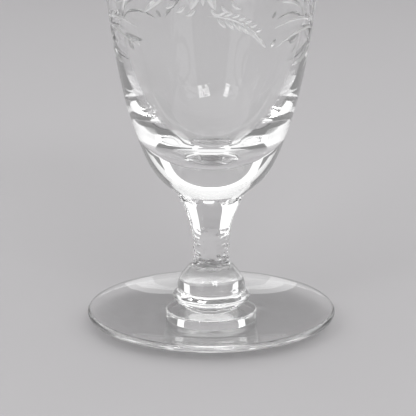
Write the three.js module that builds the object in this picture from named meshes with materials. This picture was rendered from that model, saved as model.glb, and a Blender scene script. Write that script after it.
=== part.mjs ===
// A footed iced tea glass in clear cut crystal, in millimetres, +Z up.
// The origin is where its axis meets the table. From the table up, the gathers of glass are
// the foot, two collars, a small dome, the eight-sided stem and the blown bowl.
// Each one is a body of revolution that stands with a flat face on the one below it.

import * as THREE from "three";

// Foot: a thin disc that stands on a flat pad and lifts a little towards its rounded edge.
const FOOT_RADIUS = 38;
const FOOT_PAD_RADIUS = 17;
const FOOT_PAD_THICKNESS = 1.5;
const FOOT_EDGE_THICKNESS = 2;
const FOOT_EDGE_LIFT = 3;
const FOOT_LAND = 1; // flat glass left around the lower collar

// Lower collar: a disc with an upright side.
const LOWER_COLLAR_RADIUS = 14;
const LOWER_COLLAR_HEIGHT = 3.1;
const LOWER_COLLAR_TOP_ROUNDING = 0.6;
const LOWER_COLLAR_BASE_ROUNDING = 0.3;

// Middle collar: a fat ring that is widest above its middle and draws in to a neck below.
const MIDDLE_COLLAR_RADIUS = 11.9;
const MIDDLE_COLLAR_HEIGHT = 6.2;
const MIDDLE_COLLAR_BELLY_HEIGHT = 4.3;
const MIDDLE_COLLAR_NECK_RADIUS = 7.2;

// Dome: a bell-shaped cap under the stem. Its rounded base makes the crease above the collar.
const DOME_RADIUS = 10.4;
const DOME_HEIGHT = 7.5;
const DOME_BASE_ROUNDING = 0.7;
const DOME_LEDGE = 0.25; // by which its top stands out past the stem

// Stem: eight sides, straight below and flared under the bowl. Radii are to its corners.
const STEM_SIDES = 8;
const STEM_TURN = THREE.MathUtils.degToRad(-4.6);
const STEM_RADIUS = 5.95;
const STEM_TOP_RADIUS = 10.5;
const STEM_STRAIGHT_HEIGHT = 10.8;
const STEM_FLARE_HEIGHT = 12.1;

// Bowl: a steep cup on a thick solid base. Its wall thickens slowly from the rim to the knee and
// faster from there down to the floor of the hollow. Slopes are millimetres out for each one up.
const BOWL_HEIGHT = 123.8;
const BOWL_SEAT_RADIUS = 10.2;
const BOWL_SEAT_SLOPE = 1.18;
const BELLY_RADIUS = 24;
const BELLY_HEIGHT = 22.6;
const BELLY_SLOPE = 0.317;
const RIM_RADIUS = 40;
const RIM_SLOPE = 0.161;
const RIM_WALL = 1.5;
const KNEE_WALL = 2.4;
const KNEE_SHARE = 0.5; // of the way along the curve from the belly to the rim
const BASE_THICKNESS = 12;

// Pulls of the curves between two points, as shares of the way out and up from one to the other.
const FOOT_PULLS = [0.35, 0, 0.7, 0.6];
const UNDERCUT_PULLS = [0.41, 0.25, 1, 0.59];
const SHOULDER_PULLS = [0, 0.21, 0.78, 0.73];
const BELL_PULLS = [0, 0.4, 0.5, 0.7];
const FLARE_PULLS = [0, 0.3, 0.33, 0.63];

// Reach of the bowl's curves along their end slopes, as shares of each curve's height.
const SEAT_REACH = 0.215;
const BELLY_REACH_DOWN = 0.76;
const BELLY_REACH_UP = 0.205;
const RIM_REACH = 0.585;
const KNEE_REACH = 0.6;
const FLOOR_REACH = 0.575; // share of the knee's radius

// How finely the round pieces and their curves are cut into facets.
const ROUND_SIDES = 48;
const COLLAR_SIDES = 40;
const BOWL_STEPS = 12;
const CURVE_STEPS = 6;
const ARC_STEPS = 3;

// Levels of the flat faces where one gather stands on the next.
const LOWER_COLLAR_BASE = FOOT_PAD_THICKNESS;
const MIDDLE_COLLAR_BASE = LOWER_COLLAR_BASE + LOWER_COLLAR_HEIGHT;
const DOME_BASE = MIDDLE_COLLAR_BASE + MIDDLE_COLLAR_HEIGHT;
const STEM_BASE = DOME_BASE + DOME_HEIGHT;
const BOWL_BASE = STEM_BASE + STEM_STRAIGHT_HEIGHT + STEM_FLARE_HEIGHT;
const RIM_LEVEL = BOWL_BASE + BOWL_HEIGHT;

const CREASE_RADIUS = DOME_RADIUS - DOME_BASE_ROUNDING;
const QUARTER = Math.PI / 2;

const at = (radius, height) => new THREE.Vector2(radius, height);

// A cubic curve between two points, pulled towards shares of the way between them.
function pulledCurve(start, end, [leaveOut, leaveUp, arriveOut, arriveUp]) {
  const between = (out, up) =>
    at(THREE.MathUtils.lerp(start.x, end.x, out), THREE.MathUtils.lerp(start.y, end.y, up));
  const leave = between(leaveOut, leaveUp);
  const arrive = between(arriveOut, arriveUp);
  return new THREE.CubicBezierCurve(start, leave, arrive, end);
}

// Points of a curve without its first one.
function pointsAfterStart(curve, steps) {
  return curve.getPoints(steps).slice(1);
}

// Points of a quarter or half turn about a centre, without the first one.
function turn(centre, radius, from, to, steps) {
  const points = [];
  for (let i = 1; i <= steps; i += 1) {
    const angle = from + ((to - from) * i) / steps;
    points.push(at(centre.x + radius * Math.cos(angle), centre.y + radius * Math.sin(angle)));
  }
  return points;
}

// The point that a slope reaches from another point after a rise.
function along(point, slope, rise) {
  return at(point.x + slope * rise, point.y + rise);
}

// A piece of clear glass turned from a half outline that runs from the axis, round its outside
// and back to the axis.
function gather(name, outline, sides, start = 0) {
  const geometry = new THREE.LatheGeometry(outline, sides, start);
  geometry.rotateX(Math.PI / 2);
  const glass = new THREE.MeshStandardMaterial({ color: 0xe9eeee, roughness: 0.03, metalness: 0 });
  const mesh = new THREE.Mesh(geometry, glass);
  mesh.name = name;
  return mesh;
}

function makeFoot() {
  const half = FOOT_EDGE_THICKNESS / 2;
  const edge = at(FOOT_RADIUS - half, FOOT_EDGE_LIFT + half);
  const below = at(edge.x, edge.y - half);
  const above = at(edge.x, edge.y + half);
  const pad = at(FOOT_PAD_RADIUS, 0);
  const land = at(LOWER_COLLAR_RADIUS + FOOT_LAND, FOOT_PAD_THICKNESS);
  const underside = pointsAfterStart(pulledCurve(pad, below, FOOT_PULLS), CURVE_STEPS);
  const upperside = pulledCurve(land, above, FOOT_PULLS).getPoints(CURVE_STEPS).reverse();
  const outline = [
    at(0, 0),
    pad,
    ...underside,
    ...turn(edge, half, -QUARTER, QUARTER, 2 * ARC_STEPS),
    ...upperside.slice(1),
    at(0, FOOT_PAD_THICKNESS),
  ];
  return gather("foot", outline, ROUND_SIDES);
}

function makeLowerCollar() {
  const baseRounding = LOWER_COLLAR_BASE_ROUNDING;
  const topRounding = LOWER_COLLAR_TOP_ROUNDING;
  const baseTurn = at(LOWER_COLLAR_RADIUS - baseRounding, LOWER_COLLAR_BASE + baseRounding);
  const topTurn = at(LOWER_COLLAR_RADIUS - topRounding, MIDDLE_COLLAR_BASE - topRounding);
  const outline = [
    at(0, LOWER_COLLAR_BASE),
    at(baseTurn.x, LOWER_COLLAR_BASE),
    ...turn(baseTurn, baseRounding, -QUARTER, 0, ARC_STEPS),
    at(LOWER_COLLAR_RADIUS, topTurn.y),
    ...turn(topTurn, topRounding, 0, QUARTER, ARC_STEPS),
    at(0, MIDDLE_COLLAR_BASE),
  ];
  return gather("lower_collar", outline, COLLAR_SIDES);
}

function makeMiddleCollar() {
  const neck = at(MIDDLE_COLLAR_NECK_RADIUS, MIDDLE_COLLAR_BASE);
  const belly = at(MIDDLE_COLLAR_RADIUS, MIDDLE_COLLAR_BASE + MIDDLE_COLLAR_BELLY_HEIGHT);
  const crease = at(CREASE_RADIUS, DOME_BASE);
  const outline = [
    at(0, MIDDLE_COLLAR_BASE),
    neck,
    ...pointsAfterStart(pulledCurve(neck, belly, UNDERCUT_PULLS), CURVE_STEPS),
    ...pointsAfterStart(pulledCurve(belly, crease, SHOULDER_PULLS), CURVE_STEPS),
    at(0, DOME_BASE),
  ];
  return gather("middle_collar", outline, COLLAR_SIDES);
}

function makeDome() {
  const baseTurn = at(CREASE_RADIUS, DOME_BASE + DOME_BASE_ROUNDING);
  const side = at(DOME_RADIUS, baseTurn.y);
  const top = at(STEM_RADIUS + DOME_LEDGE, STEM_BASE);
  const outline = [
    at(0, DOME_BASE),
    at(CREASE_RADIUS, DOME_BASE),
    ...turn(baseTurn, DOME_BASE_ROUNDING, -QUARTER, 0, ARC_STEPS),
    ...pointsAfterStart(pulledCurve(side, top, BELL_PULLS), CURVE_STEPS),
    at(0, STEM_BASE),
  ];
  return gather("dome", outline, COLLAR_SIDES);
}

function makeStem() {
  const shoulder = at(STEM_RADIUS, STEM_BASE + STEM_STRAIGHT_HEIGHT);
  const top = at(STEM_TOP_RADIUS, BOWL_BASE);
  const outline = [
    at(0, STEM_BASE),
    at(STEM_RADIUS, STEM_BASE),
    shoulder,
    ...pointsAfterStart(pulledCurve(shoulder, top, FLARE_PULLS), 2 * CURVE_STEPS),
    at(0, BOWL_BASE),
  ];
  return gather("stem", outline, STEM_SIDES, Math.PI / STEM_SIDES + STEM_TURN);
}

function makeBowl() {
  const lip = RIM_WALL / 2;
  const seat = at(BOWL_SEAT_RADIUS, BOWL_BASE);
  const belly = at(BELLY_RADIUS, BOWL_BASE + BELLY_HEIGHT);
  const rim = at(RIM_RADIUS, RIM_LEVEL - lip);
  const wallHeight = rim.y - belly.y;
  const base = new THREE.CubicBezierCurve(
    seat,
    along(seat, BOWL_SEAT_SLOPE, BELLY_HEIGHT * SEAT_REACH),
    along(belly, BELLY_SLOPE, -BELLY_HEIGHT * BELLY_REACH_DOWN),
    belly,
  );
  const side = new THREE.CubicBezierCurve(
    belly,
    along(belly, BELLY_SLOPE, wallHeight * BELLY_REACH_UP),
    along(rim, RIM_SLOPE, -wallHeight * RIM_REACH),
    rim,
  );
  const inside = [];
  for (let i = 0; i <= BOWL_STEPS; i += 1) {
    const share = i / BOWL_STEPS;
    const outer = side.getPoint(THREE.MathUtils.lerp(1, KNEE_SHARE, share));
    inside.push(at(outer.x - THREE.MathUtils.lerp(RIM_WALL, KNEE_WALL, share), outer.y));
  }
  const knee = inside[BOWL_STEPS];
  const aboveKnee = inside[BOWL_STEPS - 1];
  const kneeSlope = (aboveKnee.x - knee.x) / (aboveKnee.y - knee.y);
  const floor = at(0, BOWL_BASE + BASE_THICKNESS);
  const hollow = new THREE.CubicBezierCurve(
    knee,
    along(knee, kneeSlope, (floor.y - knee.y) * KNEE_REACH),
    at(knee.x * FLOOR_REACH, floor.y),
    floor,
  );
  const outline = [
    at(0, BOWL_BASE),
    seat,
    ...pointsAfterStart(base, BOWL_STEPS),
    ...pointsAfterStart(side, BOWL_STEPS),
    ...turn(at(rim.x - lip, rim.y), lip, 0, Math.PI, 2 * ARC_STEPS),
    ...inside.slice(1),
    ...pointsAfterStart(hollow, BOWL_STEPS),
  ];
  return gather("bowl", outline, ROUND_SIDES);
}

const glass = new THREE.Group();
glass.add(makeFoot(), makeLowerCollar(), makeMiddleCollar(), makeDome(), makeStem(), makeBowl());

export default glass;
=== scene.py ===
# %% [markdown]
# # A cut crystal iced tea glass
# The glass is a stack of gathers of clear glass: a thin foot, two collars, a small dome, an
# eight-sided stem and a tall blown bowl with wheel-cut leaf sprays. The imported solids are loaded
# first as a fixed frame. Each piece reads its levels and its widest radius from its own solid, so
# every finer mesh lands where that solid is and nothing has to be fitted by eye.

# %% Load the frame
import math

import bmesh
import bpy
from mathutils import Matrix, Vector, noise
from mathutils.geometry import delaunay_2d_cdt


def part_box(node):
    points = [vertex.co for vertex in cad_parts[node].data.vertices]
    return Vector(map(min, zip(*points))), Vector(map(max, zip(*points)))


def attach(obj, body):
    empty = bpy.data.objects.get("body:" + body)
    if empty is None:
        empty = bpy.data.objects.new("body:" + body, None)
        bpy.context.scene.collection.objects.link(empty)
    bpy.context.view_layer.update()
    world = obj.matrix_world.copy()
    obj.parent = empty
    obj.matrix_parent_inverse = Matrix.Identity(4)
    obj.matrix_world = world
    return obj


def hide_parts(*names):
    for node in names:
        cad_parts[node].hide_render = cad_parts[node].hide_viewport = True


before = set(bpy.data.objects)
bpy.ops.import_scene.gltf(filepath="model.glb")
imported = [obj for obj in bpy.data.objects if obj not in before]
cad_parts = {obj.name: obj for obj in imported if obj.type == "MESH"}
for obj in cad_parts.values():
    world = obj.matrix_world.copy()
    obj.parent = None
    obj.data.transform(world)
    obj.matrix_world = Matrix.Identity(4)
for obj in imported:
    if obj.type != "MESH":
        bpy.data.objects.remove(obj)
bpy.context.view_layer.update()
scene = bpy.context.scene
scene.view_settings.view_transform = "Standard"
MM = 0.001


def levels(node):
    """Base level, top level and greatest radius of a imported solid."""
    low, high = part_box(node)
    return low.z, high.z, high.x


# %% [markdown]
# ## Camera
# The photograph looks down on the foot from about half a metre away with a long lens, so the rings
# of the stem are shallow ellipses and the bowl runs out of the top of the frame. The camera is set
# by its real place and its pitch, and the focal length is worked out from pixels of the photograph.
# A camera that tracks a target would be quicker to aim, but its pitch would then depend on the target.

# %% Camera
PHOTO_PIXELS = 416
FOCAL_PIXELS = 1877
SENSOR_WIDTH = 36
CAMERA_BACK = 550 * MM
CAMERA_UP = 187 * MM
CAMERA_SIDE = -1 * MM
CAMERA_PITCH = math.radians(15.33)

camera_data = bpy.data.cameras.new("table_camera")
camera_data.sensor_width = SENSOR_WIDTH
camera_data.lens = FOCAL_PIXELS / PHOTO_PIXELS * SENSOR_WIDTH
camera = bpy.data.objects.new("table_camera", camera_data)
camera.location = (CAMERA_SIDE, -CAMERA_BACK, CAMERA_UP)
camera.rotation_euler = (math.pi / 2 - CAMERA_PITCH, 0, 0)
scene.collection.objects.link(camera)
scene.camera = camera
print("lens", round(camera_data.lens, 1), "mm")

# %% [markdown]
# ## Floor and backdrop
# Clear glass has almost no colour of its own: it shows the floor through it, the room bent inside
# it, and the lamps as bright shapes. So the stage is part of the look and is made first. The floor
# is one large plain board. The backdrop is a plain board in the shape of an arch. The solid base of
# the bowl is a lens that turns the room upside down, and it shows the arch as a grey field with the
# bright room as a crescent below it. The flats at the stem's sides look past the arch's narrow foot
# and turn white. A curved sweep from floor to wall would lose both.

# %% Floor and backdrop
FLOOR_SIDE = 12.0
FLOOR_GAP = 0.05 * MM
FLOOR_COLOUR = (0.50, 0.49, 0.50)
BACKDROP_COLOUR = (0.64, 0.63, 0.64)
BACKDROP_PLACE = 1.0
BACKDROP_FOOT = 0.50
BACKDROP_BULGE = 0.45
BACKDROP_HEIGHT = 0.65
BACKDROP_STEPS = 48
BOARD_ROUGHNESS = 0.9


def plain_material(name, colour, roughness):
    """A new material whose shader starts as a plain Principled surface."""
    material = bpy.data.materials.new(name)
    material.use_nodes = True
    shader = material.node_tree.nodes["Principled BSDF"]
    shader.inputs["Base Color"].default_value = (*colour, 1)
    shader.inputs["Roughness"].default_value = roughness
    return material, material.node_tree, shader


def add_board(name, corners, colour):
    """A plain flat board of the stage."""
    mesh = bpy.data.meshes.new(name)
    mesh.from_pydata(corners, [], [range(len(corners))])
    material, _, _ = plain_material(name, colour, BOARD_ROUGHNESS)
    mesh.materials.append(material)
    board = bpy.data.objects.new(name, mesh)
    scene.collection.objects.link(board)
    print(name, "with", len(corners), "corners")


half_floor = FLOOR_SIDE / 2
ways = ((-1, -1), (1, -1), (1, 1), (-1, 1))
add_board("floor", [(x * half_floor, y * half_floor, -FLOOR_GAP) for x, y in ways], FLOOR_COLOUR)
arch = []
for i in range(BACKDROP_STEPS + 1):
    lean = math.pi * i / BACKDROP_STEPS
    half_width = BACKDROP_FOOT + BACKDROP_BULGE * math.sin(lean) ** 2
    arch.append((half_width * math.cos(lean), BACKDROP_PLACE, BACKDROP_HEIGHT * math.sin(lean)))
add_board("backdrop", arch, BACKDROP_COLOUR)

# %% [markdown]
# ## Lamps
# The glass is lit as on a product table. A wide soft panel overhead lights the floor evenly, and a
# panel behind the backdrop shows round its arch. One soft panel on each side of the camera makes the
# white lobes in the thick base. Both are lifted off the floor, because a lower panel would also show
# through the upper bowl from other sides. Two small windows, high above the camera, give the pair of
# highlights on the bowl. An area lamp's power spreads over its size, so each lamp is set by the
# brightness of its surface instead. The room around them is dim and draws the edges of the glass.

# %% Lamps
ROOM_LEVEL = 0.24
OVERHEAD_SIZE = (3.2, 2.3)
OVERHEAD_PLACE = (0, 0.25, 0.90)
OVERHEAD_TARGET = (0, 0.25, 0)
OVERHEAD_RADIANCE = 0.80
BACK_SIZE = (1.75, 0.85)
BACK_PLACE = (0, 1.10, 0.425)
BACK_TARGET = (0, 0, 0.425)
BACK_RADIANCE = 0.95
FRONT_SIZE = (0.34, 0.50)
FRONT_OUT = 0.40
FRONT_NEAR = -0.41
FRONT_UP = 0.37
FRONT_RADIANCE = 0.95
WIDE_WINDOW_SIZE = (0.46, 0.24)
WIDE_WINDOW_PLACE = (0.28, -0.95, 0.97)
NARROW_WINDOW_SIZE = (0.20, 0.26)
NARROW_WINDOW_PLACE = (-0.66, -0.95, 1.03)
WINDOW_TARGET = (0, 0, 0.06)
WINDOW_RADIANCE = 8


def light_room():
    """An even dim room round the table."""
    world = bpy.data.worlds.new("room")
    scene.world = world
    world.use_nodes = True
    background = world.node_tree.nodes["Background"]
    background.inputs["Color"].default_value = (ROOM_LEVEL, ROOM_LEVEL, ROOM_LEVEL, 1)


def add_panel(name, size, place, target, radiance):
    """A rectangular soft lamp of the given brightness that faces a target."""
    data = bpy.data.lights.new(name, "AREA")
    data.shape = "RECTANGLE"
    data.size, data.size_y = size
    data.energy = radiance * math.pi * size[0] * size[1]
    panel = bpy.data.objects.new(name, data)
    panel.location = place
    panel.rotation_euler = (Vector(target) - Vector(place)).to_track_quat("-Z", "Y").to_euler()
    panel.visible_camera = False
    scene.collection.objects.link(panel)
    print(name, round(data.energy, 2), "watts")


light_room()
add_panel("overhead_panel", OVERHEAD_SIZE, OVERHEAD_PLACE, OVERHEAD_TARGET, OVERHEAD_RADIANCE)
add_panel("back_panel", BACK_SIZE, BACK_PLACE, BACK_TARGET, BACK_RADIANCE)
for side in (-1, 1):
    place = (side * FRONT_OUT, FRONT_NEAR, FRONT_UP)
    add_panel(f"front_panel_{side}", FRONT_SIZE, place, (0, 0, FRONT_UP), FRONT_RADIANCE)
add_panel("wide_window", WIDE_WINDOW_SIZE, WIDE_WINDOW_PLACE, WINDOW_TARGET, WINDOW_RADIANCE)
add_panel("narrow_window", NARROW_WINDOW_SIZE, NARROW_WINDOW_PLACE, WINDOW_TARGET, WINDOW_RADIANCE)

# %% [markdown]
# ## Clear crystal
# Light goes into the glass, bends, bounces off the inside and comes out again, often a dozen times
# in a thick base, so the renderer is allowed more bounces than usual. The surface is fire polished:
# almost no roughness, a faint waviness left by the heat, and a breath of handling marks. A Glass
# shader would do for a still picture, but the Principled one travels better to other programs and
# can be made partly clear. The wheel-cut leaves need that: they are ground, so they are rougher, carry
# the fine lines of the wheel, let half of the light through and scatter the rest.

# %% Clear crystal
CRYSTAL_INDEX = 1.53
CRYSTAL_TINT = (0.992, 0.994, 0.993)
HANDLING_SCALE = 55
HANDLING_DETAIL = 5
HANDLING_RANGE = (0.45, 0.75)
WAVE_DETAIL = 1
POLISH_MARKS = 0.02
WHEEL_MARKS = 0.2
BLOWN_WAVE, BLOWN_WAVE_SCALE = 0.02 * MM, 70
PRESSED_WAVE, PRESSED_WAVE_SCALE = 0.03 * MM, 140
WHEEL_LINES, WHEEL_LINE_SCALE = 0.03 * MM, 900
GROUND_CLEARNESS = 0.5

scene.cycles.max_bounces = 48
scene.cycles.transmission_bounces = 40
scene.cycles.glossy_bounces = 24
scene.cycles.transparent_max_bounces = 48


def crystal_material(name, marks, wave, wave_scale, clear=1):
    """Crystal; marks is the most roughness, wave the height of the waviness, clear the light let in."""
    material, tree, shader = plain_material(name, CRYSTAL_TINT, 0)
    shader.inputs["IOR"].default_value = CRYSTAL_INDEX
    shader.inputs["Transmission Weight"].default_value = clear
    place = tree.nodes.new("ShaderNodeTexCoord")
    handling = tree.nodes.new("ShaderNodeTexNoise")
    handling.inputs["Scale"].default_value = HANDLING_SCALE
    handling.inputs["Detail"].default_value = HANDLING_DETAIL
    spread = tree.nodes.new("ShaderNodeMapRange")
    spread.inputs["From Min"].default_value = HANDLING_RANGE[0]
    spread.inputs["From Max"].default_value = HANDLING_RANGE[1]
    spread.inputs["To Max"].default_value = marks
    ripple = tree.nodes.new("ShaderNodeTexNoise")
    ripple.inputs["Scale"].default_value = wave_scale
    ripple.inputs["Detail"].default_value = WAVE_DETAIL
    bump = tree.nodes.new("ShaderNodeBump")
    bump.inputs["Distance"].default_value = wave
    tree.links.new(place.outputs["Object"], handling.inputs["Vector"])
    tree.links.new(handling.outputs["Fac"], spread.inputs["Value"])
    tree.links.new(spread.outputs["Result"], shader.inputs["Roughness"])
    tree.links.new(place.outputs["Object"], ripple.inputs["Vector"])
    tree.links.new(ripple.outputs["Fac"], bump.inputs["Height"])
    tree.links.new(bump.outputs["Normal"], shader.inputs["Normal"])
    print("material:", name)
    return material


blown_crystal = crystal_material("blown_crystal", POLISH_MARKS, BLOWN_WAVE, BLOWN_WAVE_SCALE)
pressed_crystal = crystal_material("pressed_crystal", POLISH_MARKS, PRESSED_WAVE, PRESSED_WAVE_SCALE)
cut_crystal = crystal_material(
    "wheel_cut_crystal", WHEEL_MARKS, WHEEL_LINES, WHEEL_LINE_SCALE, GROUND_CLEARNESS
)

# %% [markdown]
# ## Fused joints
# Where two gathers are fused there is no surface at all in the real glass. One joined mesh would show
# that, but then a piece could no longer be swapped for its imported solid. So the hidden end faces get
# a fully clear material, and light runs straight on from one mesh into the next.

# %% Fused joints
def fused_material():
    """The faces inside the glass where two gathers are one."""
    material = bpy.data.materials.new("fused_joint")
    material.use_nodes = True
    tree = material.node_tree
    tree.nodes.clear()
    clear = tree.nodes.new("ShaderNodeBsdfTransparent")
    out = tree.nodes.new("ShaderNodeOutputMaterial")
    tree.links.new(clear.outputs[0], out.inputs["Surface"])
    print("material:", material.name)
    return material


fused_joint = fused_material()

# %% [markdown]
# ## Eight-sided section
# The stem is pressed to eight flats whose corners are softened by the fire. A polygon with bevelled
# corners would do, but it can't melt gradually into a circle at its ends. Here the radius in each
# direction comes from one formula. In a sharp octagon the nearest flat alone sets the radius. In this
# one every flat counts a little, through a high power, and the power sets how crisp the corners are.

# %% Eight-sided section
AROUND = 288
SIDES = 8
STEM_TURN = math.radians(-4.6)
CORNER_CRISPNESS = 56


def eight_sided(angle):
    """Radius of the stem's section in this direction, as a share of its corner radius."""
    step = 2 * math.pi / SIDES
    flats = (math.cos(angle - STEM_TURN - k * step) for k in range(SIDES))
    total = sum(max(0, c) ** CORNER_CRISPNESS for c in flats)
    return math.cos(step / 2) * total ** (-1 / CORNER_CRISPNESS)


corner = STEM_TURN + math.pi / SIDES
print("section:", [round(eight_sided(a), 3) for a in (STEM_TURN, corner)], "on a flat and a corner")

# %% [markdown]
# ## Rings and skins
# Every piece is turned about the axis, as the glassmaker turns it on the iron. A piece is a list of
# rings, each a radius, a height and a share of eight-sidedness from 0, round, to 1, the section of
# the stem. Blender's Screw modifier could spin an outline, but it can't change the section on the
# way up, so the rings are joined by hand in a bmesh. A face that closes an end is either polished
# glass or a fused joint.

# %% Rings and skins
POLISHED, FUSED, CUT = 0, 1, 2


def on_ring(radius, height, angle):
    """A point of a ring; angle 0 faces the camera and grows to its right."""
    return radius * math.sin(angle), -radius * math.cos(angle), height


def lay_rings(bm, rings, around, first_angle, bulge=None):
    """Rows of vertices for the rings, with one vertex where a ring has no radius."""
    rows = []
    angles = [first_angle + 2 * math.pi * i / around for i in range(around)]
    sections = [eight_sided(a) for a in angles]
    for radius, height, facets in rings:
        if radius == 0:
            rows.append([bm.verts.new((0, 0, height))])
            continue
        row = []
        for angle, section in zip(angles, sections):
            out = radius * (1 + facets * (section - 1))
            if bulge:
                out += bulge(angle, height)
            row.append(bm.verts.new(on_ring(out, height, angle)))
        rows.append(row)
    return rows


def skin_rows(bm, rows):
    """Faces between each row and the next."""
    for low, high in zip(rows, rows[1:]):
        count = max(len(low), len(high))
        for i in range(count):
            j = (i + 1) % count
            corners = [low[i % len(low)], low[j % len(low)], high[j % len(high)], high[i % len(high)]]
            bm.faces.new(list(dict.fromkeys(corners)))


def close_row(bm, row, finish):
    """One face across the end of a piece."""
    face = bm.faces.new(row)
    face.material_index = finish


print("vertices in a ring:", AROUND)

# %% [markdown]
# ## Finishing a piece
# Fire-polished glass is smooth all over and keeps a crease only where two faces meet at a clear
# angle. Smooth shading with sharp edges by angle gives that. A bevel on each crease would look the
# same at this size and cost many faces. Each finished mesh rides on the glass, which is one rigid
# body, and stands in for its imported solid.

# %% Finishing a piece
SHARP_EDGE = math.radians(26)


def finish_piece(bm, name, node, materials):
    """Turns a bmesh into a piece that rides on the glass and stands for its solid."""
    bmesh.ops.recalc_face_normals(bm, faces=bm.faces[:])
    for face in bm.faces:
        face.smooth = True
    mesh = bpy.data.meshes.new(name)
    bm.to_mesh(mesh)
    bm.free()
    mesh.set_sharp_from_angle(angle=SHARP_EDGE)
    for material in materials:
        mesh.materials.append(material)
    piece = bpy.data.objects.new(name, mesh)
    scene.collection.objects.link(piece)
    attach(piece, "root")
    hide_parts(node)
    print(name, len(mesh.vertices), "vertices")


def turned_piece(name, node, rings, low_end, high_end, bulge=None):
    """A whole piece from its rings, with a face of the given finish at each end."""
    bm = bmesh.new()
    rows = lay_rings(bm, rings, AROUND, STEM_TURN, bulge)
    skin_rows(bm, rows)
    close_row(bm, rows[0], low_end)
    close_row(bm, rows[-1], high_end)
    finish_piece(bm, name, node, [pressed_crystal, fused_joint])


print("creases start at", round(math.degrees(SHARP_EDGE)), "degrees")

# %% [markdown]
# ## Curves for outlines
# Hot glass flows in long curves, so an outline here is made of cubic sweeps and small arcs. Bezier
# curve objects could be drawn and converted, but short functions give the points at once and keep
# every size a named value. A pulled curve gets four shares: how far out and up it is drawn between
# its ends when it leaves and when it arrives. It keeps its character when a level changes.

# %% Curves for outlines
QUARTER = math.pi / 2
CURVE_STEPS = 24
ARC_STEPS = 8


def sweep(start, leave, arrive, end, steps):
    """Points of a cubic curve, without its first one."""
    points = []
    for i in range(1, steps + 1):
        t = i / steps
        s = 1 - t
        weights = (s**3, 3 * s * s * t, 3 * s * t * t, t**3)
        corners = (start, leave, arrive, end)
        points.append(tuple(sum(w * c[k] for w, c in zip(weights, corners)) for k in (0, 1)))
    return points


def turn(centre, radius, first, last, steps):
    """Points of an arc, without its first one."""
    points = []
    for i in range(1, steps + 1):
        angle = first + (last - first) * i / steps
        points.append((centre[0] + radius * math.cos(angle), centre[1] + radius * math.sin(angle)))
    return points


def part_way(low, high, share):
    """The value at a share of the way from low to high."""
    return low + (high - low) * share


def pulled(start, end, pulls):
    """A cubic curve pulled towards shares of the way out and up between its ends."""
    out, up, arrive_out, arrive_up = pulls
    leave = (part_way(start[0], end[0], out), part_way(start[1], end[1], up))
    arrive = (part_way(start[0], end[0], arrive_out), part_way(start[1], end[1], arrive_up))
    return sweep(start, leave, arrive, end, CURVE_STEPS)


def rounds(points):
    """Round rings from the points of an outline."""
    return [(radius, height, 0) for radius, height in points]


print("points:", CURVE_STEPS, "in a pulled curve,", ARC_STEPS, "in a quarter turn")

# %% [markdown]
# ## Foot
# The foot is a disc pulled out of a gather with a wooden clapper. It stands on a flat pad, lifts
# gently like a saucer and ends in a rounded, fire-polished edge. A flattened cylinder would miss that
# lift, which is what catches the light, so the foot is turned from an outline of two pulled curves.

# %% Foot
FOOT_BASE, FOOT_TOP, FOOT_RADIUS = levels("foot")
LOWER_BASE, LOWER_TOP, LOWER_RADIUS = levels("lower_collar")
FOOT_EDGE = 2.0 * MM
FOOT_PAD_RADIUS = 17 * MM
FOOT_LAND = 1 * MM
LOWER_BASE_ROUNDING = 0.3 * MM
FOOT_PULLS = (0.35, 0, 0.7, 0.6)


def make_foot():
    """The foot, from its pad round its edge to the seat of the lower collar."""
    half = FOOT_EDGE / 2
    edge = (FOOT_RADIUS - half, FOOT_TOP - half)
    below = (edge[0], edge[1] - half)
    above = (edge[0], FOOT_TOP)
    pad = (FOOT_PAD_RADIUS, FOOT_BASE)
    land = (LOWER_RADIUS + FOOT_LAND, LOWER_BASE)
    under = pulled(pad, below, FOOT_PULLS)
    over = [land, *pulled(land, above, FOOT_PULLS)]
    over.reverse()
    seat = (LOWER_RADIUS - LOWER_BASE_ROUNDING, LOWER_BASE)
    outline = [pad, *under, *turn(edge, half, -QUARTER, QUARTER, 2 * ARC_STEPS), *over[1:], seat]
    turned_piece("crystal_foot", "foot", rounds(outline), POLISHED, FUSED)


make_foot()

# %% [markdown]
# ## Uneven glass
# Tools and cooling leave the knop and the stem slightly lumpy, and in clear glass even a few
# hundredths of a millimetre bend what shows through. A Displace modifier would also push the fused
# end faces in and out. Here a smooth noise value is added to the radius alone. It is read on a
# cylinder, so it closes on itself, and it depends only on direction and height, so the collars agree
# where they meet.

# %% Uneven glass
LUMP_RADIUS = 6 * MM
LUMP_DEPTH = 0.07 * MM
LUMP_SIZE = (1.6 * MM, 1.2 * MM)


def uneven(angle, height, size):
    """A smooth chance value between about -0.5 and 0.5, with lumps of a given width and height."""
    around = Vector((math.sin(angle), math.cos(angle), 0)) * (LUMP_RADIUS / size[0])
    return noise.noise(around + Vector((0, 0, height / size[1])))


def lumps(angle, height):
    """The uneven skin that the tools leave on the collars and the dome."""
    return LUMP_DEPTH * uneven(angle, height, LUMP_SIZE)


one_turn = [lumps(2 * math.pi * i / AROUND, LOWER_TOP) / MM for i in range(AROUND)]
print("lumps on one ring: from", round(min(one_turn), 3), "to", round(max(one_turn), 3), "mm")

# %% [markdown]
# ## Lower collar
# The lowest ring of the knop is a disc with an upright side. The fire rounds its upper edge well and
# its lower edge, on the foot, only a little. A cylinder with a Bevel modifier comes close, but the
# two edges need different roundings, so each is an arc of the outline.

# %% Lower collar
LOWER_TOP_ROUNDING = 0.6 * MM
NECK_RADIUS = 7.2 * MM


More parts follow.
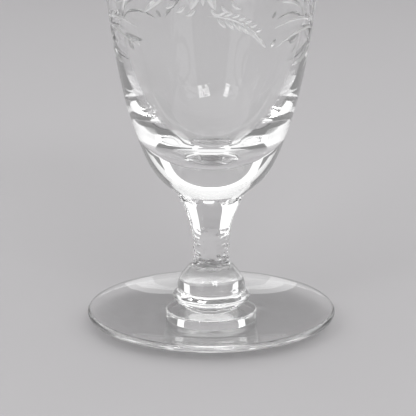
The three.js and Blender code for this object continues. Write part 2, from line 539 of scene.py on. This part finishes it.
def make_lower_collar():
    """The lower collar, from its seat on the foot to the neck of the middle one."""
    base = (LOWER_RADIUS - LOWER_BASE_ROUNDING, LOWER_BASE + LOWER_BASE_ROUNDING)
    top = (LOWER_RADIUS - LOWER_TOP_ROUNDING, LOWER_TOP - LOWER_TOP_ROUNDING)
    outline = [
        (base[0], LOWER_BASE),
        *turn(base, LOWER_BASE_ROUNDING, -QUARTER, 0, ARC_STEPS),
        (LOWER_RADIUS, top[1]),
        *turn(top, LOWER_TOP_ROUNDING, 0, QUARTER, ARC_STEPS),
        (NECK_RADIUS, LOWER_TOP),
    ]
    turned_piece("crystal_lower_collar", "lower_collar", rounds(outline), FUSED, FUSED, lumps)


make_lower_collar()

# %% [markdown]
# ## Middle collar
# The middle ring is fat, widest above its middle and drawn in to a neck below, as a gather sags when
# it is pressed from above. A torus would be even all round its section. Two pulled curves that meet
# upright at the widest place give the lopsided one.

# %% Middle collar
MIDDLE_BASE, MIDDLE_TOP, MIDDLE_RADIUS = levels("middle_collar")
CREASE_RADIUS = 9.7 * MM
BELLY_LIFT = 4.3 * MM
UNDERCUT_PULLS = (0.41, 0.25, 1, 0.59)
SHOULDER_PULLS = (0, 0.21, 0.78, 0.73)


def make_middle_collar():
    """The middle collar, from its neck over its widest place to the crease under the dome."""
    neck = (NECK_RADIUS, MIDDLE_BASE)
    belly = (MIDDLE_RADIUS, MIDDLE_BASE + BELLY_LIFT)
    crease = (CREASE_RADIUS, MIDDLE_TOP)
    lower = pulled(neck, belly, UNDERCUT_PULLS)
    upper = pulled(belly, crease, SHOULDER_PULLS)
    rings = rounds([neck, *lower, *upper])
    turned_piece("crystal_middle_collar", "middle_collar", rings, FUSED, FUSED, lumps)


make_middle_collar()

# %% [markdown]
# ## Dome
# The dome is a bell-shaped cap under the stem. It starts with a small round over the crease, stands
# almost upright and then closes in to the root of the stem. Half a sphere would close in too early.

# %% Dome
DOME_BASE, DOME_TOP, DOME_RADIUS = levels("dome")
STEM_RADIUS = 5.95 * MM
DOME_BASE_ROUNDING = 0.7 * MM
DOME_LEDGE = 0.8 * MM
BELL_PULLS = (0, 0.4, 0.5, 0.7)


def make_dome():
    """The dome, from the crease to the root of the stem."""
    base = (CREASE_RADIUS, DOME_BASE + DOME_BASE_ROUNDING)
    side = (DOME_RADIUS, base[1])
    top = (STEM_RADIUS + DOME_LEDGE, DOME_TOP)
    outline = [
        (base[0], DOME_BASE),
        *turn(base, DOME_BASE_ROUNDING, -QUARTER, 0, ARC_STEPS),
        *pulled(side, top, BELL_PULLS),
    ]
    turned_piece("crystal_dome", "dome", rounds(outline), FUSED, FUSED, lumps)


make_dome()

# %% [markdown]
# ## Waves in the flats
# The press that closes on the stem leaves fine level waves in every second flat of its straight part,
# and they break the light at its sides into short bright strokes. Bump in the material would change
# only the shading, and glass needs a surface that really bends. So the waves are part of the
# shape: noise that is wider than it is tall, faded out at the root and in the flare.

# %% Waves in the flats
STEM_BASE, STEM_TOP, _ = levels("stem")
FLARE_HEIGHT = 13.6 * MM
ROOT_HEIGHT = 1.8 * MM
WAVE_DEPTH = 0.38 * MM
WAVE_SIZE = (2.2 * MM, 0.9 * MM)
WAVE_RISE = 4 * MM
WAVE_FADE = 3 * MM


def flat_waves(angle, height):
    """Waves left in every second flat of the straight part by the closing press."""
    second_flat = math.sin(SIDES / 4 * (angle - STEM_TURN)) ** 2
    below_flare = (STEM_TOP - FLARE_HEIGHT + WAVE_RISE - height) / WAVE_FADE
    above_root = (height - STEM_BASE) / ROOT_HEIGHT
    share = min(1, max(0, below_flare), max(0, above_root))
    return WAVE_DEPTH * second_flat * share * uneven(angle, height, WAVE_SIZE)


wave_top = STEM_TOP - FLARE_HEIGHT + WAVE_RISE
print("waves from", round(STEM_BASE / MM, 1), "to", round(wave_top / MM, 1), "mm above the table")

# %% [markdown]
# ## Stem
# The stem is pressed with eight flats. It grows out of the dome with a small round root, runs
# straight for a third of its height and then flares to meet the bowl. At both ends the section
# turns round, because the gathers melt together there. A lofted pair of sections would give straight
# sides, so the flare is a pulled curve and each ring has its own share of eight-sidedness.

# %% Stem
BOWL_SEAT_RADIUS = 10.2 * MM
FLARE_RADIUS = 10.9 * MM
MELTED_HEIGHT = 0.8 * MM
ROOT_PULLS = (0.7, 0.1, 1, 0.5)
FLARE_PULLS = (0.12, 0.2, 0.32, 0.63)
STEM_STEPS = 90


def make_stem():
    """The stem, from its root on the dome to its seat under the bowl."""
    base = (STEM_RADIUS + DOME_LEDGE, STEM_BASE)
    neck = (STEM_RADIUS, STEM_BASE + ROOT_HEIGHT)
    shoulder = (STEM_RADIUS, STEM_TOP - FLARE_HEIGHT)
    top = (FLARE_RADIUS, STEM_TOP)
    outline = [base, *pulled(base, neck, ROOT_PULLS)]
    for i in range(1, STEM_STEPS + 1):
        outline.append((STEM_RADIUS, part_way(neck[1], shoulder[1], i / STEM_STEPS)))
    outline += pulled(shoulder, top, FLARE_PULLS)
    rings = []
    for radius, height in outline:
        below_bowl = min(1, (STEM_TOP - height) / MELTED_HEIGHT)
        above_dome = min(1, (height - STEM_BASE) / ROOT_HEIGHT)
        radius = part_way(BOWL_SEAT_RADIUS, radius, below_bowl)
        rings.append((radius, height, min(below_bowl, above_dome)))
    turned_piece("crystal_stem", "stem", rings, FUSED, FUSED, flat_waves)


make_stem()

# %% [markdown]
# ## Bowl outside
# The bowl is blown, and its outside is two smooth curves that meet at the belly with the same slope.
# One curve for both would have to give up either the round base or the nearly straight side. Each
# end of a curve has a slope and a reach, the share of the height that its handle covers.

# %% Bowl outside
BOWL_BASE, RIM_LEVEL, RIM_RADIUS = levels("bowl")
RIM_WALL = 1.5 * MM
BELLY_RADIUS = 24 * MM
BELLY_HEIGHT = 22.6 * MM
SEAT_SLOPE = 1.18
BELLY_SLOPE = 0.317
RIM_SLOPE = 0.161
SEAT_REACH = 0.215
BELLY_REACH_DOWN = 0.76
BELLY_REACH_UP = 0.205
RIM_REACH = 0.585
BOWL_STEPS = 48
SIDE_STEPS = 400


def along(point, slope, rise):
    """The point that lies a rise above another one on a line of a given slope."""
    return point[0] + slope * rise, point[1] + rise


seat = (BOWL_SEAT_RADIUS, BOWL_BASE)
belly = (BELLY_RADIUS, BOWL_BASE + BELLY_HEIGHT)
rim = (RIM_RADIUS, RIM_LEVEL - RIM_WALL / 2)
side_height = rim[1] - belly[1]
base_curve = sweep(
    seat,
    along(seat, SEAT_SLOPE, BELLY_HEIGHT * SEAT_REACH),
    along(belly, BELLY_SLOPE, -BELLY_HEIGHT * BELLY_REACH_DOWN),
    belly,
    BOWL_STEPS,
)
side_curve = [belly] + sweep(
    belly,
    along(belly, BELLY_SLOPE, side_height * BELLY_REACH_UP),
    along(rim, RIM_SLOPE, -side_height * RIM_REACH),
    rim,
    SIDE_STEPS,
)


def side_radius(height):
    """Radius of the bowl's outside at a height above the belly."""
    for low, high in zip(side_curve, side_curve[1:]):
        if height <= high[1]:
            break
    return part_way(low[0], high[0], (height - low[1]) / (high[1] - low[1]))


def side_rows(low, high, steps):
    """Points of the outside at even heights between two levels."""
    heights = [part_way(low, high, i / steps) for i in range(steps + 1)]
    return [(side_radius(height), height) for height in heights]


print("rim radius", round(side_radius(rim[1]) / MM, 2), "mm")

# %% [markdown]
# ## Bowl hollow
# The wall thins towards the rim. Below the knee the hollow draws in on one long curve to its floor,
# and the thick base of solid glass under it is the lens that makes the bright lobes above the stem.
# A Solidify modifier gives a wall of one thickness, so the inside is drawn as an outline of its own.

# %% Bowl hollow
KNEE_WALL = 2.4 * MM
BASE_THICKNESS = 12 * MM
KNEE_REACH = 0.6
FLOOR_REACH = 0.575
KNEE_STEP = SIDE_STEPS // 2


def hollow_outline():
    """The inside of the bowl, from below the lip down to the middle of its floor."""
    inside = []
    for i in range(SIDE_STEPS, KNEE_STEP - 1, -SIDE_STEPS // BOWL_STEPS):
        radius, height = side_curve[i]
        share = (i - KNEE_STEP) / (SIDE_STEPS - KNEE_STEP)
        inside.append((radius - part_way(KNEE_WALL, RIM_WALL, share), height))
    knee, above_knee = inside[-1], inside[-2]
    slope = (above_knee[0] - knee[0]) / (above_knee[1] - knee[1])
    floor_level = BOWL_BASE + BASE_THICKNESS
    leave = along(knee, slope, (floor_level - knee[1]) * KNEE_REACH)
    arrive = (knee[0] * FLOOR_REACH, floor_level)
    return inside[1:] + sweep(knee, leave, arrive, (0, floor_level), BOWL_STEPS)


print("floor of the hollow", round(hollow_outline()[-1][1] / MM, 1), "mm above the table")

# %% [markdown]
# ## A wheel cut
# The engraver holds the bowl against a turning wheel with a V-shaped edge. Each touch leaves a
# pointed groove, long and narrow for a leaf and short for a bud. The pattern is drawn flat, as if the
# wall were unrolled, with millimetres across and the real height upwards. A cut is a row of stations
# along its spine, each with the half width of the groove there. A painted mask would be easier to
# draw, but these numbers also give the depth of the groove.

# %% A wheel cut
CUT_STATIONS = 8
POINT_FULLNESS = 0.75


def taper(share):
    """Half width along a cut, from 0 at its points to 1 in its middle."""
    return math.sin(math.pi * share) ** POINT_FULLNESS


def leaf(start, end, width, bend=0):
    """A pointed cut from start to end that bows sideways by bend; all in millimetres."""
    run, rise = end[0] - start[0], end[1] - start[1]
    length = math.hypot(run, rise)
    cut = []
    for i in range(CUT_STATIONS + 1):
        share = i / CUT_STATIONS
        bow = bend * 4 * share * (1 - share) / length
        across = start[0] + run * share - rise * bow
        up = start[1] + rise * share + run * bow
        cut.append((across * MM, up * MM, width / 2 * taper(share) * MM))
    return cut


def ray(centre, angle, first, last, width, bend=0):
    """A leaf on a line through a centre, between two distances from it; 0 degrees points up."""
    lean = math.radians(angle)
    ends = [(centre[0] + r * math.sin(lean), centre[1] + r * math.cos(lean)) for r in (first, last)]
    return leaf(ends[0], ends[1], width, bend)


print("stations along a cut:", CUT_STATIONS + 1)

# %% [markdown]
# ## Fronds
# A frond is cut leaflet by leaflet on a bowed spine. The leaflets above the spine are short and stand
# off more, the ones below are long and lie closer, and the loop lets them grow or shrink towards the
# tip. An Array modifier on a curve would make them all alike.

# %% Fronds
SPINE_WIDTH = 0.8
SHORT_LEAN = 42
SHORT_GAP = 0.5
SHORT_TIPS = (3.4, 2.4)
SHORT_WIDTH = 1.1
SHORT_BEND = 0.15
LONG_LEAN = 24
LONG_GAP = 0.9
LONG_TIPS = (4.4, 6.8)
LONG_WIDTH = 1.2


def frond(start, end, droop):
    """Leaflets along a bowed spine, short above it and long below it, and the spine itself."""
    spine = leaf(start, end, SPINE_WIDTH, droop)
    lean = math.degrees(math.atan2(end[0] - start[0], end[1] - start[1]))
    side = 1 if end[0] > start[0] else -1
    turned = 1 if end[1] < start[1] else -1
    above = lean - side * turned * SHORT_LEAN
    below = lean + side * turned * LONG_LEAN
    cuts = [spine]
    for i in range(1, CUT_STATIONS):
        root = (spine[i][0] / MM, spine[i][1] / MM)
        share = i / CUT_STATIONS
        short_tip, long_tip = part_way(*SHORT_TIPS, share), part_way(*LONG_TIPS, share)
        cuts.append(ray(root, above, SHORT_GAP, short_tip, SHORT_WIDTH, SHORT_BEND * side))
        cuts.append(ray(root, below, LONG_GAP, long_tip, LONG_WIDTH))
    return cuts


print("leaflets on a frond:", 2 * (CUT_STATIONS - 1))

# %% [markdown]
# ## Flower
# The flower is a star of eight petals with a thin line between each two. A drooping frond leaves it
# at the lower right and a rising one at the upper left, and lone leaves and tufts fill the other
# corners. What repeats is drawn once, for the upper right, and mirrored by its two signs.

# %% Flower
FLOWER_LEVEL = 110.5 * MM
PETALS = 8
PETAL = (1.6, 9.4, 2.4)
PETAL_LINE = (3.2, 7.6, 1.1)
FROND_OUT = (1.0, 17.2)
FROND_RISE = 10.4
FROND_DROP = 7.0
FROND_BOW = -2.2
LONE_LEAF = ((9.5, 4.2), (19, 10.6), 1.9, -0.5)
SIDE_LEAF = ((10.5, 2), (17.5, 5), 1.8, -0.8)
TUFT_PLACES = (2.2, 5.2, 8.2)
TUFT_RISE = 9.0
TUFT_SLOPE = 0.32
TUFT_LEAN = 35
TUFT_LEAF = (0, 3.6, 1.2)
TUFT_BEND = 0.4


def mirrored_leaf(middle, side, rise, start, end, width, bend):
    """A leaf drawn for the upper right of a middle, mirrored to one side and upwards or downwards."""
    ends = [(middle[0] + side * out, middle[1] + rise * up) for out, up in (start, end)]
    return leaf(ends[0], ends[1], width, side * rise * bend)


def flower_corner(middle, side, rise):
    """What fills one of the four corners round the star."""
    cuts = []
    if side != rise:
        level = middle[1] + rise * FROND_RISE
        start, end = (side * FROND_OUT[0], level), (side * FROND_OUT[1], level + rise * FROND_DROP)
        cuts += frond(start, end, side * rise * FROND_BOW)
    else:
        cuts.append(mirrored_leaf(middle, side, rise, *LONE_LEAF))
    for out in TUFT_PLACES:
        root = (side * out, middle[1] + rise * (TUFT_RISE - out * TUFT_SLOPE))
        lean = side * (90 - rise * TUFT_LEAN)
        cuts.append(ray(root, lean, *TUFT_LEAF, side * rise * TUFT_BEND))
    cuts.append(mirrored_leaf(middle, side, rise, *SIDE_LEAF))
    return cuts


def flower_motif():
    """A star flower with a drooping frond, a rising one and lone leaves, about its own middle."""
    middle = (0, FLOWER_LEVEL / MM)
    step = 360 / PETALS
    cuts = []
    for k in range(PETALS):
        cuts.append(ray(middle, step * k + step / 2, *PETAL))
        cuts.append(ray(middle, step * k, *PETAL_LINE))
    for side in (-1, 1):
        for rise in (-1, 1):
            cuts += flower_corner(middle, side, rise)
    return cuts


print("cuts in a flower:", len(flower_motif()))

# %% [markdown]
# ## Fan
# Between two flowers stands a fan of long leaves on a root, with curved stems and loose leaves to
# both sides. The outer leaves of the fan are a little shorter, and each leaf has a thin one beside its
# tip. The cuts at the sides follow no rule, so they are a short list given for the right side,
# and the left side is its mirror image.

# %% Fan
FAN_LEVEL = 91.5 * MM
FAN_ANGLES = (-58, -38, -19, 0, 19, 38, 58)
FAN_ROOT = 1.6
FAN_LENGTH = 17
FAN_WIDTH = 1.7
DEGREES_PER_MM_SHORTER = 12
TIP_TURN = 9
TIP_LEAF = (13, 19, 1.0)
LOWER_STEM = ((0, 0), (26.5, -1.7), 0.9, 3.2)
UPPER_STEM = ((2, 1.5), (28, 4.0), 0.9, 3.0)
STEM_BUD = ((26.8, 1.0), (28.4, -1.4), 1.2, 0)
LONG_ROOT_LEAF = ((1.5, -3), (17.5, -8), 1.9, -0.6)
SHORT_ROOT_LEAF = ((1.0, -4.5), (8, -10), 1.5, -0.5)
HIGH_LEAF = ((12, 9), (24, 18), 1.3, 1.2)
LOW_LEAF = ((18, 9.5), (26, 11.5), 1.2, 0.8)
FAN_SIDE = (LOWER_STEM, UPPER_STEM, STEM_BUD, LONG_ROOT_LEAF, SHORT_ROOT_LEAF, HIGH_LEAF, LOW_LEAF)


def fan_motif():
    """A fan of long leaves on a root with curved stems to both sides, drawn about its own middle."""
    root = (0, FAN_LEVEL / MM)
    cuts = []
    for angle in FAN_ANGLES:
        length = FAN_LENGTH - abs(angle) / DEGREES_PER_MM_SHORTER
        cuts.append(ray(root, angle, FAN_ROOT, length, FAN_WIDTH))
        cuts.append(ray(root, angle + TIP_TURN, *TIP_LEAF))
    for side in (-1, 1):
        for cut in FAN_SIDE:
            cuts.append(mirrored_leaf(root, side, 1, *cut))
    return cuts


print("cuts in a fan:", len(fan_motif()))

# %% [markdown]
# ## Measuring a cut
# To carve the grooves, the depth at any point of the wall has to be known. A V-shaped wheel cuts
# deepest on the spine, and the depth falls evenly to the groove's edge. So it is enough to measure
# how far inside the edge a point lies. Blender's own nearest-point search would do this on a mesh, but
# a few lines do it on the stations, and a box round each cut skips the cuts that are far away.

# %% Measuring a cut
OUTSIDE = -1


def reach(cut, u, v):
    """How far inside a cut's edge a point lies, and below 0 outside it."""
    best = OUTSIDE
    for (u0, v0, half0), (u1, v1, half1) in zip(cut, cut[1:]):
        run, rise = u1 - u0, v1 - v0
        share = ((u - u0) * run + (v - v0) * rise) / (run * run + rise * rise)
        share = min(1, max(0, share))
        off = math.hypot(u - u0 - share * run, v - v0 - share * rise)
        best = max(best, part_way(half0, half1, share) - off)
    return best


def box_of(cut, margin):
    """The smallest and largest place across and up that a cut and a margin around it cover."""
    edges = [(u - half, v - half, u + half, v + half) for u, v, half in cut]
    lows = [min(e[k] for e in edges) - margin for k in (0, 1)]
    highs = [max(e[k] for e in edges) + margin for k in (2, 3)]
    return (*lows, *highs)


def deepest(boxes, u, v):
    """The reach into the deepest cut over a point."""
    best = OUTSIDE
    for cut, (low_u, low_v, high_u, high_v) in boxes:
        if low_u <= u <= high_u and low_v <= v <= high_v:
            best = max(best, reach(cut, u, v))
    return best


petal = flower_motif()[0]
petal_middle = petal[CUT_STATIONS // 2]
print("a petal is", round(2 * reach(petal, *petal_middle[:2]) / MM, 2), "mm wide in its middle")

# %% [markdown]
# ## Lines of a cut
# A groove looks crisp only if edges of the mesh run along its spine and along both of its rims. Each
# cut therefore gives its lines: the spine through its stations, and on each side a rim that starts
# and ends at the cut's points. A finer even mesh could show the groove too, but with a ragged edge.

# %% Lines of a cut
def cut_lines(cut):
    """Points of a cut's rim and spine, and the edges between them."""
    points = [(u, v) for u, v, _ in cut]
    last = len(cut) - 1
    edges = [(i, i + 1) for i in range(last)]
    for sign in (-1, 1):
        before = 0
        for i in range(1, last):
            run = cut[i + 1][0] - cut[i - 1][0]
            rise = cut[i + 1][1] - cut[i - 1][1]
            scale = sign * cut[i][2] / math.hypot(run, rise)
            points.append((cut[i][0] - rise * scale, cut[i][1] + run * scale))
            edges.append((before, len(points) - 1))
            before = len(points) - 1
        edges.append((before, last))
    return points, edges


print("lines of a petal:", len(cut_lines(petal)[1]))

# %% [markdown]
# ## Flat band
# The grooves are real geometry. Half of the unrolled band is filled with an even grid of points, the
# lines of the cuts are laid over it, and a constrained Delaunay triangulation joins all of them
# without crossing a line. Each point gets the depth of the deepest groove over it. Sculpting, or a
# boolean for every groove, would do the same, but far more slowly and with rougher edges.

# %% Flat band
UNROLLED_RADIUS = 32 * MM
BAND_LOW = 79 * MM
BAND_HIGH = 134 * MM
BAND_ROWS = 44
WHEEL_SLOPE = 0.85
CLEARANCE = 0.3 * MM
FLOWER_ANGLE = math.radians(-4.4)
BAND_START = math.radians(31.65) - math.pi
WELD = 0.001 * MM


def shift(cuts, angle):
    """Cuts moved along the unrolled band to a direction round the bowl."""
    across = angle * UNROLLED_RADIUS
    return [[(u + across, v, half) for u, v, half in cut] for cut in cuts]


def grid_points(boxes):
    """Even points over half of the band, left out where a cut is near."""
    start, width = BAND_START * UNROLLED_RADIUS, math.pi * UNROLLED_RADIUS
    columns = AROUND // 2
    points = []
    for j in range(BAND_ROWS + 1):
        v = part_way(BAND_LOW, BAND_HIGH, j / BAND_ROWS)
        for i in range(columns + 1):
            u = start + width * i / columns
            on_border = i in (0, columns) or j in (0, BAND_ROWS)
            if on_border or deepest(boxes, u, v) < -CLEARANCE:
                points.append(Vector((u, v)))
    return points


def flat_band():
    """Points, triangles and depths of half of the unrolled band, and which triangles are ground."""
    fan_angle = FLOWER_ANGLE - math.pi / 2
    cuts = shift(flower_motif(), FLOWER_ANGLE) + shift(fan_motif(), fan_angle)
    boxes = [(cut, box_of(cut, CLEARANCE)) for cut in cuts]
    points, edges = grid_points(boxes), []
    for cut in cuts:
        places, lines = cut_lines(cut)
        edges += [(len(points) + i, len(points) + j) for i, j in lines]
        points += [Vector(place) for place in places]
    flat, _, faces, _, _, _ = delaunay_2d_cdt(points, edges, [], 0, WELD)
    depths = [max(0, deepest(boxes, u, v)) * WHEEL_SLOPE for u, v in flat]
    ground = []
    for face in faces:
        middle = sum((flat[i] for i in face), Vector((0, 0))) / len(face)
        ground.append(deepest(boxes, *middle) > 0)
    return flat, faces, depths, ground


band = flat_band()
print("half band:", len(band[1]), "triangles, deepest cut", round(max(band[2]) / MM, 2), "mm")

# %% [markdown]
# ## Wrapping the band
# The flat half is wrapped round the bowl twice, half a turn apart, so the flower and the fan repeat on
# the far side. A Simple Deform modifier can bend a flat sheet, but the bowl is a cone with curved
# sides, so every point is placed on the outside of the bowl and pushed in by its depth.

# %% Wrapping the band
def carve_band(bm):
    """Wraps the flat half band round the bowl twice."""
    flat, faces, depths, ground = band
    for half_turn in (0, math.pi):
        verts = []
        for (u, v), depth in zip(flat, depths):
            place = on_ring(side_radius(v) - depth, v, u / UNROLLED_RADIUS + half_turn)
            verts.append(bm.verts.new(place))
        for corners, is_ground in zip(faces, ground):
            face = bm.faces.new([verts[i] for i in corners])
            face.material_index = CUT if is_ground else POLISHED


print("band from radius", round(side_radius(BAND_LOW) / MM, 1), "to", round(side_radius(BAND_HIGH) / MM, 1))

# %% [markdown]
# ## Bowl
# Everything below and above the band is turned like the other gathers, and the band is welded in
# between. The rim is rounded by the fire, so half a turn of a small arc leads over it into the
# hollow. The band's border points lie exactly on the rings next to it, which is why a weld is enough
# and no bridge of extra faces is needed.

# %% Bowl
ROWS_BELOW_BAND = 16
ROWS_ABOVE_BAND = 20


def make_bowl():
    """The bowl, from its seat on the stem up the outside, over the rim and down to its floor."""
    bm = bmesh.new()
    lip = RIM_WALL / 2
    below = [seat, *base_curve, *side_rows(belly[1], BAND_LOW, ROWS_BELOW_BAND)[1:]]
    above = [
        *side_rows(BAND_HIGH, rim[1], ROWS_ABOVE_BAND),
        *turn((rim[0] - lip, rim[1]), lip, 0, math.pi, 2 * ARC_STEPS),
        *hollow_outline(),
    ]
    lower_rows = lay_rings(bm, rounds(below), AROUND, BAND_START)
    skin_rows(bm, lower_rows)
    close_row(bm, lower_rows[0], FUSED)
    skin_rows(bm, lay_rings(bm, rounds(above), AROUND, BAND_START))
    carve_band(bm)
    bmesh.ops.remove_doubles(bm, verts=bm.verts[:], dist=WELD)
    finish_piece(bm, "crystal_bowl", "bowl", [blown_crystal, fused_joint, cut_crystal])


make_bowl()
